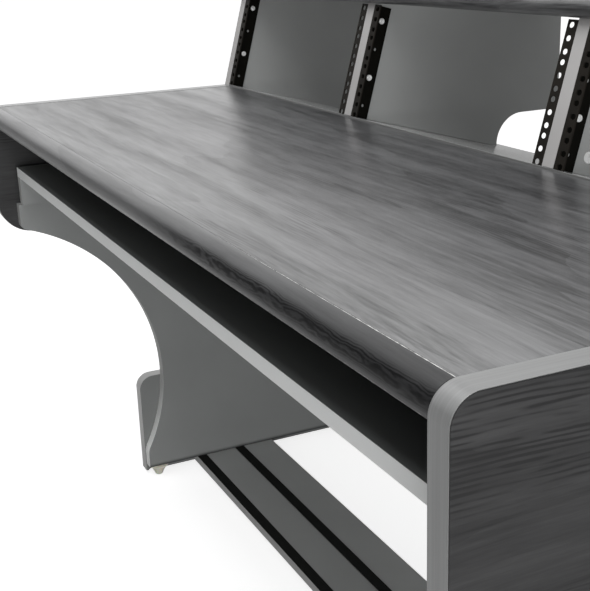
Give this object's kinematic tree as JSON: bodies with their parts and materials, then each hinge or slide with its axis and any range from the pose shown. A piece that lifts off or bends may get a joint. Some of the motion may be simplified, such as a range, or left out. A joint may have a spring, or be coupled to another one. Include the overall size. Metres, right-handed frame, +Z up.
{
  "type": "studio desk",
  "caption": "Studio desk: thick worktop between rounded cheeks, a tilted bridge of rack bays behind it, a sliding keyboard tray and a footrest between hollow-fronted legs.",
  "frame": {"origin": "on the floor, under the middle of the desk's outer box", "axes": "+X along the desk to the player's right, +Y from the player to the rear, +Z up"},
  "size_m": [1.549, 0.886, 0.994],
  "materials": {
    "worktop_laminate": "grey wood-grain laminate, satin, grain along the desk",
    "cheek_laminate": "dark grey wood-grain laminate, grain along the depth",
    "edge_band": "light grey edge banding",
    "grey_board": "plain grey melamine, fine satin texture, lighter banded edges",
    "rack_board": "plain grey melamine with light banded front edges",
    "black_steel": "black powder coat",
    "zinc_steel": "bright zinc plate",
    "glide_nylon": "cream nylon",
    "grip_rubber": "matt black ribbed rubber"
  },
  "bodies": {
    "desk_frame": {"worktop": "worktop_laminate", "worktop_nose": "worktop_laminate", "rack_top_board": "worktop_laminate", "left_cheek": "cheek_laminate", "left_cheek_edge_band": "edge_band", "left_leg": "grey_board", "left_foot_panel": "grey_board", "left_front_glide": "glide_nylon", "left_rear_glide": "glide_nylon", "left_runner_outer": "zinc_steel", "right_cheek": "cheek_laminate", "right_cheek_edge_band": "edge_band", "right_leg": "grey_board", "right_foot_panel": "grey_board", "right_front_glide": "glide_nylon", "right_rear_glide": "glide_nylon", "right_runner_outer": "zinc_steel", "footrest_board": "grey_board", "worktop_rail": "grey_board", "modesty_panel": "grey_board", "front_grip_strip": "grip_rubber", "rear_grip_strip": "grip_rubber", "rack_bottom_board": "rack_board", "left_rack_side": "rack_board", "left_divider": "rack_board", "right_divider": "rack_board", "right_rack_side": "rack_board", "left_divider_front_cam": "zinc_steel", "left_divider_rear_cam": "zinc_steel", "right_divider_front_cam": "zinc_steel", "right_divider_rear_cam": "zinc_steel", "left_bay_left_rail": "black_steel", "left_bay_left_rail_lower_screw": "zinc_steel", "left_bay_left_rail_upper_screw": "zinc_steel", "left_bay_right_rail": "black_steel", "left_bay_right_rail_lower_screw": "zinc_steel", "left_bay_right_rail_upper_screw": "zinc_steel", "centre_bay_left_rail": "black_steel", "centre_bay_left_rail_lower_screw": "zinc_steel", "centre_bay_left_rail_upper_screw": "zinc_steel", "centre_bay_right_rail": "black_steel", "centre_bay_right_rail_lower_screw": "zinc_steel", "centre_bay_right_rail_upper_screw": "zinc_steel", "right_bay_left_rail": "black_steel", "right_bay_left_rail_lower_screw": "zinc_steel", "right_bay_left_rail_upper_screw": "zinc_steel", "right_bay_right_rail": "black_steel", "right_bay_right_rail_lower_screw": "zinc_steel", "right_bay_right_rail_upper_screw": "zinc_steel"},
    "tray": {"tray_board": "grey_board", "left_tray_batten": "grey_board", "right_tray_batten": "grey_board", "left_runner_inner": "zinc_steel", "right_runner_inner": "zinc_steel"},
    "left_middle": {"left_runner_middle": "zinc_steel"},
    "right_middle": {"right_runner_middle": "zinc_steel"}
  },
  "joints": [
    {"name": "tray_slide", "type": "slide", "parent": "desk_frame", "child": "tray", "axis": [0, -1, 0], "range_m": [0, 0.3]},
    {"name": "left_middle_slide", "type": "slide", "parent": "desk_frame", "child": "left_middle", "axis": [0, -1, 0], "range_m": [0, 0.15]},
    {"name": "right_middle_slide", "type": "slide", "parent": "desk_frame", "child": "right_middle", "axis": [0, -1, 0], "range_m": [0, 0.15]}
  ],
  "couplings": [
    {"joint": "left_middle_slide", "follows": "tray_slide", "ratio": 0.5},
    {"joint": "right_middle_slide", "follows": "tray_slide", "ratio": 0.5}
  ]
}
